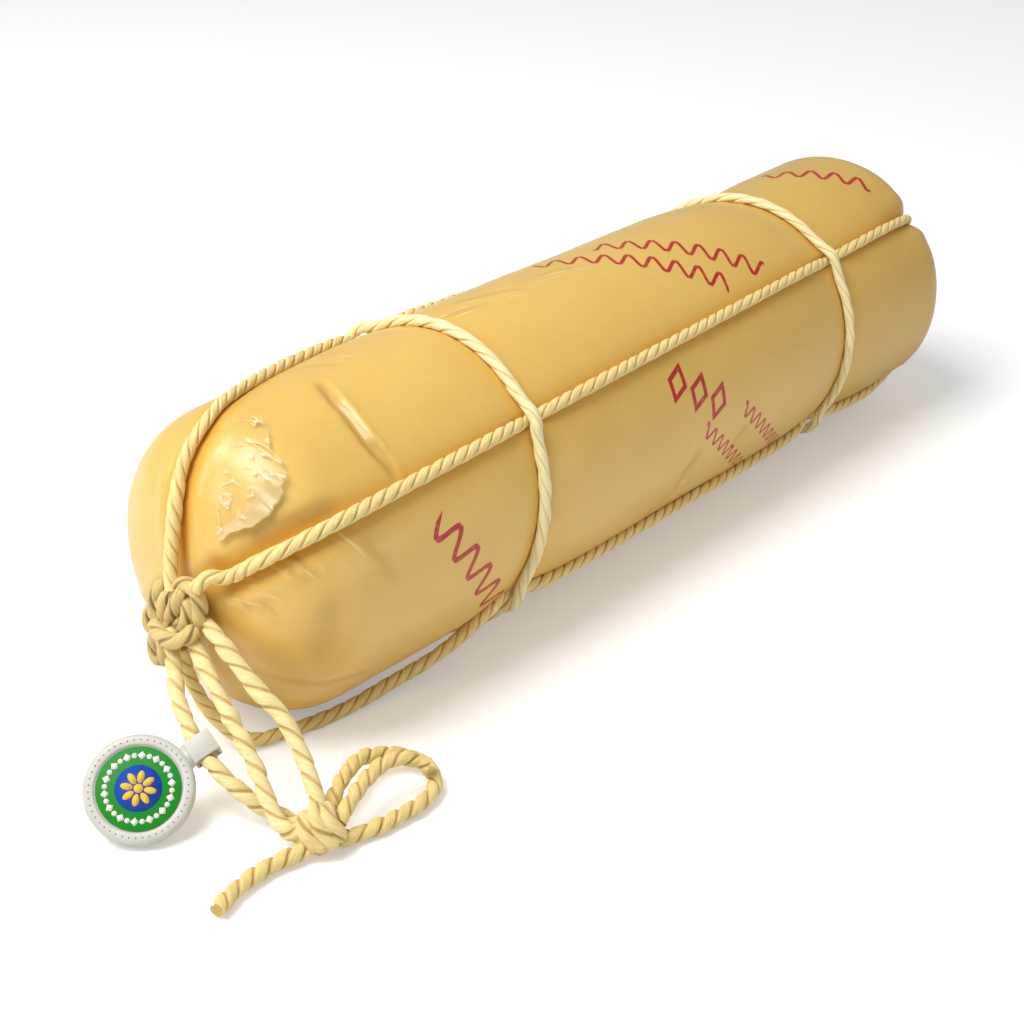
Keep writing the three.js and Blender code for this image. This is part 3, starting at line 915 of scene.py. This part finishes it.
def lozengeMask(tree, skin):
    along, across = markSpace(tree, skin, (*lozenges["middle"], 0), (0, 0, radians(lozenges["tilt"])))
    shifted = sums(tree, "ADD", sums(tree, "DIVIDE", along, lozenges["spacing"]), 10.5)
    place = sums(tree, "ABSOLUTE", sums(tree, "SUBTRACT", sums(tree, "FRACT", shifted), 0.5))
    reach = sums(tree, "DIVIDE", sums(tree, "ABSOLUTE", across), lozenges["height"])
    edge = sums(tree, "ADD", sums(tree, "MULTIPLY", place, 2.3), reach)
    inside = sums(tree, "LESS_THAN", edge, 1.0)
    border = sums(tree, "GREATER_THAN", edge, 1 - lozenges["line"])
    ends = sums(tree, "LESS_THAN", sums(tree, "ABSOLUTE", along), lozenges["halfLength"])
    return sums(tree, "MULTIPLY", sums(tree, "MULTIPLY", inside, border), ends)


def waveGroup():
    tree, source, sink = shaderGroup(
        "printedWave",
        {
            "Skin": "Vector", "Middle": "Vector", "Tilt": "Vector", "Half Length": "Float",
            "Height": "Float", "Wavelength": "Float", "Thickness": "Float",
        },
        {"Mask": "Float"},
    )
    given = source.outputs
    along, across = markSpace(tree, given["Skin"], given["Middle"], given["Tilt"])
    turn = sums(tree, "DIVIDE", sums(tree, "MULTIPLY", along, 2 * pi), given["Wavelength"])
    rise = sums(tree, "MULTIPLY", sums(tree, "SINE", turn), given["Height"])
    apart = sums(tree, "ABSOLUTE", sums(tree, "SUBTRACT", across, rise))
    slope = sums(tree, "ABSOLUTE", sums(tree, "COSINE", turn))
    steep = sums(tree, "ADD", sums(tree, "MULTIPLY", slope, 1.6), 0.8)
    inside = sums(tree, "LESS_THAN", apart, sums(tree, "MULTIPLY", given["Thickness"], steep))
    ends = sums(tree, "LESS_THAN", sums(tree, "ABSOLUTE", along), given["Half Length"])
    tree.links.new(sums(tree, "MULTIPLY", inside, ends), sink.inputs["Mask"])
    return tree


# patches of wrinkle streaks, bumped into the skin and also painted on it as pale glints
wrinkles = (  # middle across and around in skin millimetres, tilt, half length, half width
    ((-229, 176), 67, 13, 17),
    ((-205, 172), 60, 9, 8),
    ((-74, 99), 12, 34, 8),
    ((-18, 100), 11, 22, 6),
    ((-150, 88), 42, 15, 7),
    ((6, 222), -42, 18, 10),
)


# streak heights for the wrinkle bump and for the painted glints
def wrinkleHeight(tree, skin):
    total = 0.0
    for middle, tilt, length, width in wrinkles:
        along, across = markSpace(tree, skin, (*middle, 0), (0, 0, radians(tilt)))
        place = tree.nodes.new("ShaderNodeCombineXYZ")
        tree.links.new(sums(tree, "MULTIPLY", along, 0.06), place.inputs[0])
        tree.links.new(sums(tree, "MULTIPLY", across, 0.34), place.inputs[1])
        place.inputs[2].default_value = middle[0]
        streak = texture(tree, place.outputs[0], Scale=1.0, Detail=1.0, Distortion=0.3)
        ridge = sums(tree, "MULTIPLY", sums(tree, "SUBTRACT", streak, 0.56), 5.0, True)
        shares = [
            sums(tree, "POWER", sums(tree, "ABSOLUTE", sums(tree, "DIVIDE", value, size)), 2.0)
            for value, size in ((along, length), (across, width))
        ]
        inside = sums(tree, "SUBTRACT", 1.0, sums(tree, "ADD", *shares), True)
        total = sums(tree, "ADD", sums(tree, "MULTIPLY", ridge, inside), total)
    return total


# skin tints: the crease tint, the tint beside the cords and the far-end tint are painted shade, the pale tint
# on the wrinkles is a painted glint, the ink is print, and the rest are the skin's own tones
cheeseTints = {
    "dark": "DEB254", "pale": "EBC76A", "grain": "D3A64C", "farShade": "BC943F",
    "crease": "C09647", "shadeBesideCord": "D6922A", "wrinkleAndGlint": "FFF0C4", "ink": "B40004",
}


def skinColour(tree, place, cloud, skin, hollow, deep, wrinkleAndGlint):
    tint = {name: colour(code) for name, code in cheeseTints.items()}
    base = blendColour(tree, cloud, tint["dark"], tint["pale"])
    grain = texture(tree, place, Scale=160.0, Detail=4.0, Roughness=0.6)
    base = blendColour(tree, sums(tree, "MULTIPLY", grain, 0.25), base, tint["grain"])
    # painted shade: the skin grows darker and more olive towards the far end
    farShadeAmount = remap(tree, apartXYZ(tree, skin)[0], 20, 230, 0, 0.45)
    base = blendColour(tree, farShadeAmount, base, tint["farShade"])
    # painted shade: the crease hollows are tinted darker
    base = blendColour(tree, sums(tree, "MULTIPLY", hollow, 0.7, True), base, tint["crease"])
    # painted shade: orange-brown beside the cords
    base = blendColour(tree, deep, base, tint["shadeBesideCord"])
    # painted highlight: pale glints along the wrinkle streaks
    base = blendColour(tree, sums(tree, "MULTIPLY", wrinkleAndGlint, 0.6, True), base, tint["wrinkleAndGlint"])
    worn = remap(tree, texture(tree, place, Scale=420.0, Detail=2.0), 0.3, 0.5, 0.85, 1)
    ink = sums(tree, "MULTIPLY", printMask(tree, skin), worn)
    return blendColour(tree, ink, base, tint["ink"]), ink


def cheeseMaterial():
    material, tree, shader = newMaterial("filmedCheese")
    link = tree.links.new
    skin = node(tree, "ShaderNodeAttribute", attribute_name="skinSpace").outputs["Vector"]
    place = tree.nodes.new("ShaderNodeTexCoord").outputs["Object"]
    shades = node(tree, "ShaderNodeAttribute", attribute_name="skinShade").outputs["Vector"]
    beside, hollow, ends = apartXYZ(tree, shades)
    # painted shade beside the cords, stronger towards the ends; the coat is thinned there as well
    deep = sums(tree, "MULTIPLY", beside, sums(tree, "ADD", sums(tree, "MULTIPLY", ends, 0.4), 0.3))
    cloud = texture(tree, place, Scale=14.0, Detail=4.0, Roughness=0.55)
    wrinkleAndGlint = wrinkleHeight(tree, skin)
    base, ink = skinColour(tree, place, cloud, skin, hollow, deep, wrinkleAndGlint)
    link(base, shader.inputs["Base Color"])
    waxy = sums(tree, "MULTIPLY", sums(tree, "SUBTRACT", 1.0, ink, True), 0.1)
    link(waxy, shader.inputs["Subsurface Weight"])
    link(remap(tree, cloud, 0, 1, 0.3, 0.5), shader.inputs["Roughness"])
    ripple = texture(tree, place, Scale=38.0, Detail=4.0, Roughness=0.5, Distortion=0.5)
    drawn = bumped(tree, wrinkleAndGlint, 0.5, 0.0006)
    link(bumped(tree, ripple, 0.35, 0.001).outputs[0], drawn.inputs["Normal"])
    link(drawn.outputs[0], shader.inputs["Normal"])
    link(drawn.outputs[0], shader.inputs["Coat Normal"])
    shader.inputs["Subsurface Radius"].default_value = (0.004, 0.0028, 0.001)
    shader.inputs["Subsurface Scale"].default_value = 1.0
    glossy = sums(tree, "SUBTRACT", 1.0, sums(tree, "MULTIPLY", deep, 1.6), True)
    glossy = sums(tree, "MULTIPLY", glossy, 0.4)
    link(glossy, shader.inputs["Coat Weight"])
    link(sums(tree, "MULTIPLY", glossy, 1.25), shader.inputs["Specular IOR Level"])
    shader.inputs["Coat Roughness"].default_value = 0.22
    return material


def printMask(tree, skin):
    group = waveGroup()
    total = lozengeMask(tree, skin)
    for across, around, tilt, length, height, wavelength, thickness in waves.values():
        wave = tree.nodes.new("ShaderNodeGroup")
        wave.node_tree = group
        tree.links.new(skin, wave.inputs["Skin"])
        wave.inputs["Middle"].default_value = (across, around, 0)
        wave.inputs["Tilt"].default_value = (0, 0, radians(tilt))
        wave.inputs["Half Length"].default_value = length / 2
        wave.inputs["Height"].default_value = height
        wave.inputs["Wavelength"].default_value = wavelength
        wave.inputs["Thickness"].default_value = thickness
        total = sums(tree, "MAXIMUM", total, wave.outputs["Mask"])
    return total


dress(makeCheese(), cheeseMaterial(), "cheese", "cheese")
print("cheese made")


# torn film on the near shoulder

scrap = {
    "held": ((-206, 84), (-214, 87), (-221, 91), (-227, 96), (-231, 102), (-234, 108)),
    "ragged": ((-203, 98), (-209, 112), (-213, 124), (-219, 131), (-227, 132), (-234.5, 124)),
    "along": 60,
    "across": 34,
    "thickness": 0.2,
}


def spread(points, place):
    return tuple(between([p[k] for p in points], place) for k in (0, 1))


def makeScrap():
    form = bmesh.new()
    bmesh.ops.create_grid(form, x_segments=scrap["along"], y_segments=scrap["across"], size=0.5)
    layer = form.verts.layers.float_vector.new("filmPlace")
    for vert in form.verts:
        i, t = vert.co.x + 0.5, vert.co.y + 0.5
        place = i * (len(scrap["held"]) - 1)
        x0, a0 = spread(scrap["held"], place)
        x1, a1 = spread(scrap["ragged"], place)
        jag = 0.12 * noise.noise(Vector((i * 7, 1, 0))) + 0.09 * noise.noise(Vector((i * 19, 4, 0)))
        vert[layer] = (t, i, 0)
        t = t * (0.93 + jag * t)
        x, angle = x0 + (x1 - x0) * t, radians(a0 + (a1 - a0) * t)
        lift = 2.1 * t ** 3 + 0.45 * sin(3.1 * place + 4 * t) ** 2 * t
        crumple = 1.1 * noise.noise(Vector((i * 7, t * 1.6, 2))) * t
        vert.co = onLog(x, angle, 0.25 + lift + abs(crumple)) * mm
    bmesh.ops.recalc_face_normals(form, faces=form.faces)
    piece = pieceFrom("tornFilm", form)
    piece.modifiers.new("thickness", "SOLIDIFY").thickness = scrap["thickness"] * mm
    return piece


def filmMaterial():
    material, tree, shader = newMaterial("clearFilm")
    link = tree.links.new
    spot = node(tree, "ShaderNodeAttribute", attribute_name="filmPlace").outputs["Vector"]
    outward, along, _ = apartXYZ(tree, spot)
    stretch = tree.nodes.new("ShaderNodeMapping")
    stretch.inputs["Scale"].default_value = (1.7, 8.5, 1)
    link(spot, stretch.inputs["Vector"])
    crinkle = texture(tree, stretch.outputs[0], Scale=1.0, Detail=2.0, Roughness=0.4, Distortion=0.5)
    link(bumped(tree, crinkle, 0.7, 0.002).outputs[0], shader.inputs["Normal"])
    # painted highlight: the crinkle ridges are drawn as pale, more opaque streaks that fade towards the held
    # edge
    ridge = sums(tree, "ABSOLUTE", sums(tree, "SUBTRACT", crinkle, 0.54))
    ridge = sums(tree, "SUBTRACT", 1.0, sums(tree, "MULTIPLY", ridge, 24.0), True)
    patch = sums(tree, "SUBTRACT", texture(tree, spot, Scale=4.5, Detail=1.0), 0.37)
    ridge = sums(tree, "MULTIPLY", ridge, sums(tree, "MULTIPLY", patch, 6.0, True))
    milk = remap(tree, outward, 0.6, 0.86, 0, 0.55, smooth=True)
    milky = sums(tree, "MULTIPLY", milk, remap(tree, along, 0.3, 0.62, 0, 1, smooth=True))
    rim = sums(tree, "MULTIPLY", sums(tree, "SUBTRACT", outward, 0.955), 12.0, True)
    fade = sums(tree, "MULTIPLY", outward, 2.0, True)
    shine = sums(tree, "MULTIPLY", sums(tree, "ADD", sums(tree, "MULTIPLY", ridge, 0.7), 0.05), fade)
    link(blendColour(tree, ridge, colour("E2CA90"), colour("FBEFC8")), shader.inputs["Base Color"])
    cover = sums(tree, "MAXIMUM", sums(tree, "MAXIMUM", shine, milky), rim)
    link(cover, shader.inputs["Alpha"])
    shader.inputs["Roughness"].default_value = 0.25
    shader.inputs["Specular IOR Level"].default_value = 0.5
    return material


dress(makeScrap(), filmMaterial(), "torn_film", "torn_film")


# tag

tag = {
    "centre": (-291, -30, 16.6),
    "normal": (-0.477, -0.474, 0.74),
    "toSleeve": (0.878, -0.303, 0.37),
    "radius": 20.6,
    "thickness": 4.8,
    "recess": 0.7,
    "print": 15.7,
    "printDepth": 0.3,
    "printBelow": 0.08,
    "ink": 0.04,  # thickness of each printed layer
    "blue": 8.7,
    "sleeve": (10.8, 9.0, 10.8),
    "sleeveAt": (6.6, 0, -1.6),  # from the rim
    "sleeveWall": 1.1,
    "neck": (8, 9, 2.4),
    "neckAt": (1.2, 0, 0.5),
}
beads = {"count": 28, "ring": 12.3, "round": 1.0, "lozenge": 1.6}
rimDots = {"count": 46, "ring": 18.2, "size": 0.32}
rosette = {"petals": 8, "ring": 4.4, "petal": (2.3, 1.25, 1), "heart": 1.7}


def tagSpace():
    out = Vector(tag["normal"]).normalized()
    side = Vector(tag["toSleeve"])
    side = (side - out * side.dot(out)).normalized()
    turn = Matrix((side, out.cross(side), out)).transposed().to_4x4()
    return Matrix.Translation(Vector(tag["centre"])) @ turn


def turned(name, profile, steps=96):  # a profile of radius and height, spun round the tag's axis
    form = bmesh.new()
    points = [form.verts.new((r, 0, z)) for r, z in profile]
    edges = [form.edges.new(pair) for pair in zip(points, points[1:])]
    bmesh.ops.spin(
        form, geom=points + edges, cent=(0, 0, 0), axis=(0, 0, 1), angle=2 * pi, steps=steps, use_merge=True,
    )
    bmesh.ops.remove_doubles(form, verts=form.verts, dist=0.001)
    bmesh.ops.recalc_face_normals(form, faces=form.faces)
    return placedOnTag(name, form)


def placedOnTag(name, form):
    form.transform(Matrix.Scale(mm, 4) @ tagSpace())
    return pieceFrom(name, form)


def rounded(profile, size, steps=4):  # each inner corner of the profile made a small arc
    made = [profile[0]]
    for a, b, c in zip(profile, profile[1:], profile[2:]):
        a, b, c = Vector(a), Vector(b), Vector(c)
        start = b + (a - b).normalized() * min(size, (a - b).length * 0.45)
        end = b + (c - b).normalized() * min(size, (c - b).length * 0.45)
        for k in range(steps + 1):
            t = k / steps
            made.append(tuple(start * (1 - t) ** 2 + b * 2 * t * (1 - t) + end * t * t))
    return made + [profile[-1]]


def tagMaterial():
    material, tree, shader = newMaterial("greyTagPlastic")
    place = tree.nodes.new("ShaderNodeTexCoord").outputs["Object"]
    wear = texture(tree, place, Scale=120.0, Detail=3.0)
    base = blendColour(tree, wear, colour("BDB9AF"), colour("D2CFC6"))
    tree.links.new(base, shader.inputs["Base Color"])
    speck = texture(tree, place, Scale=900.0, Detail=2.0)
    tree.links.new(bumped(tree, speck, 0.25, 0.0003).outputs[0], shader.inputs["Normal"])
    shader.inputs["Roughness"].default_value = 0.38
    return material


def inkMaterial(name, code, second):
    material, tree, shader = newMaterial(name)
    place = tree.nodes.new("ShaderNodeTexCoord").outputs["Object"]
    grain = texture(tree, place, Scale=500.0, Detail=3.0)
    base = blendColour(tree, grain, colour(code), colour(second))
    tree.links.new(base, shader.inputs["Base Color"])
    shader.inputs["Roughness"].default_value = 0.5
    shader.inputs["Specular IOR Level"].default_value = 0.25
    return material


def makeTag():
    half = tag["thickness"] / 2
    floorAt = half - tag["recess"]
    r, p, blue = tag["radius"], tag["print"], tag["blue"]
    disc = turned("tagDisc", rounded([
        (0, -half), (r - 0.5, -half), (r, 0.5 - half), (r, half - 1.0), (r - 1.2, half),
        (p + 0.9, half), (p + 0.4, floorAt), (0, floorAt),
    ], 0.9))
    dress(joined("tagBody", [disc, makeSleeve()]), tagMaterial(), "tag", "tag")
    top = half - tag["printBelow"]
    under = top - tag["printDepth"]
    printed = turned("tagPrint", rounded([(0, under), (p, under), (p, top), (0, top)], 0.1, 2))
    dress(printed, inkMaterial("tagGreen", "007A10", "028C1A"), "tag_print", "tag_print")
    dress(makeBeads(top + 0.03), inkMaterial("tagWhite", "DEDCD2", "ECEAE2"), "tag_print")
    dress(makeRimDots(half + 0.02), inkMaterial("tagRimDots", "77736A", "8E8A80"), "tag")
    low, high = top + 0.02, top + 0.02 + tag["ink"]
    middle = turned("tagBlue", [(0, low), (blue, low), (blue, high), (0, high)])
    dress(middle, inkMaterial("tagBlue", "123FA0", "1A4CB4"), "tag_print")
    dress(makeRosette(top + 0.07), inkMaterial("tagYellow", "F0B428", "FBC83C"), "tag_print")


def makeSleeve():
    form = bmesh.new()
    rim = Vector((tag["radius"], 0, 0))
    made = bmesh.ops.create_cube(form, size=1.0)["verts"]
    bmesh.ops.scale(form, vec=tag["sleeve"], verts=made)
    bmesh.ops.translate(form, vec=rim + Vector(tag["sleeveAt"]), verts=made)
    ends = [f for f in form.faces if abs(f.normal.y) > 0.9]
    bmesh.ops.inset_individual(form, faces=ends, thickness=tag["sleeveWall"])
    bmesh.ops.bridge_loops(form, edges=[e for f in ends for e in f.edges])
    bmesh.ops.delete(form, geom=[f for f in ends if f.is_valid], context="FACES_ONLY")
    sharp = [e for e in form.edges if e.calc_face_angle(0) > 1.0]
    bmesh.ops.bevel(form, geom=sharp, offset=0.35, segments=3, profile=0.5, affect="EDGES", material=-1)
    neck = bmesh.ops.create_cube(form, size=1.0)["verts"]
    bmesh.ops.scale(form, vec=tag["neck"], verts=neck)
    bmesh.ops.translate(form, vec=rim + Vector(tag["neckAt"]), verts=neck)
    bmesh.ops.recalc_face_normals(form, faces=form.faces)
    return placedOnTag("tagSleeve", form)


def inkDisc(form, size, segments):
    return bmesh.ops.create_cone(
        form, cap_ends=True, segments=segments, radius1=size, radius2=size, depth=tag["ink"],
    )["verts"]


def aroundTag(turn, ring, height):
    return Matrix.Rotation(turn, 4, "Z") @ Matrix.Translation((ring, 0, height))


def makeBeads(height):  # lozenges and round dots in turn
    form = bmesh.new()
    for i in range(beads["count"]):
        made = inkDisc(form, beads["round"], 16) if i % 2 else inkDisc(form, beads["lozenge"], 4)
        spot = aroundTag(2 * pi * i / beads["count"], beads["ring"], height)
        bmesh.ops.transform(form, matrix=spot, verts=made)
    return placedOnTag("tagDots", form)


def makeRimDots(height):
    form = bmesh.new()
    for i in range(rimDots["count"]):
        turn = 2 * pi * i / rimDots["count"]
        spot = (rimDots["ring"] * cos(turn), rimDots["ring"] * sin(turn), height)
        bmesh.ops.translate(form, vec=spot, verts=inkDisc(form, rimDots["size"], 8))
    return placedOnTag("tagRimDots", form)


def makeRosette(height):
    form = bmesh.new()
    for i in range(rosette["petals"]):
        made = inkDisc(form, 1, 20)
        bmesh.ops.scale(form, vec=rosette["petal"], verts=made)
        spot = aroundTag(2 * pi * i / rosette["petals"], rosette["ring"], height)
        bmesh.ops.transform(form, matrix=spot, verts=made)
    made = inkDisc(form, rosette["heart"], 24)
    bmesh.ops.translate(form, vec=(0, 0, height), verts=made)
    return placedOnTag("tagRosette", form)


makeTag()
print("tag made")


# floor and light

def makeFloor():
    form = bmesh.new()
    bmesh.ops.create_grid(form, x_segments=8, y_segments=8, size=6.0)
    mesh = bpy.data.meshes.new("studioFloor")
    form.to_mesh(mesh)
    form.free()
    piece = bpy.data.objects.new("studioFloor", mesh)
    scene.collection.objects.link(piece)
    material, tree, shader = newMaterial("paleFloor")
    shader.inputs["Base Color"].default_value = (0.9, 0.9, 0.9, 1)
    shader.inputs["Roughness"].default_value = 0.9
    shader.inputs["Emission Color"].default_value = (1, 1, 1, 1)
    seen = tree.nodes.new("ShaderNodeLightPath")
    glow = sums(tree, "MULTIPLY", seen.outputs["Is Camera Ray"], 0.3)
    tree.links.new(glow, shader.inputs["Emission Strength"])
    mesh.materials.append(material)


lamps = {
    "window": {"at": (-750, 200, 1350), "size": (900, 800), "power": 22},
    "near": {"at": (-1400, 950, 750), "size": (500, 500), "power": 4},
    "low": {"at": (200, -1500, 120), "size": (1400, 200), "power": 1.8},
}


def makeLights():
    for name, lamp in lamps.items():
        data = bpy.data.lights.new(name, "AREA")
        data.shape = "RECTANGLE"
        data.size, data.size_y = (s * mm for s in lamp["size"])
        data.energy = lamp["power"]
        holder = bpy.data.objects.new(name, data)
        place = Vector(lamp["at"]) * mm
        aim = Vector((0, 0, 0.06)) - place
        holder.matrix_world = Matrix.Translation(place) @ aim.to_track_quat("-Z", "Y").to_matrix().to_4x4()
        scene.collection.objects.link(holder)
    world = bpy.data.worlds.new("studio")
    world.use_nodes = True
    back = world.node_tree.nodes["Background"]
    back.inputs["Color"].default_value = (1.0, 0.99, 0.97, 1)
    back.inputs["Strength"].default_value = 0.37
    scene.world = world


makeFloor()
makeLights()
print("floor and light set")
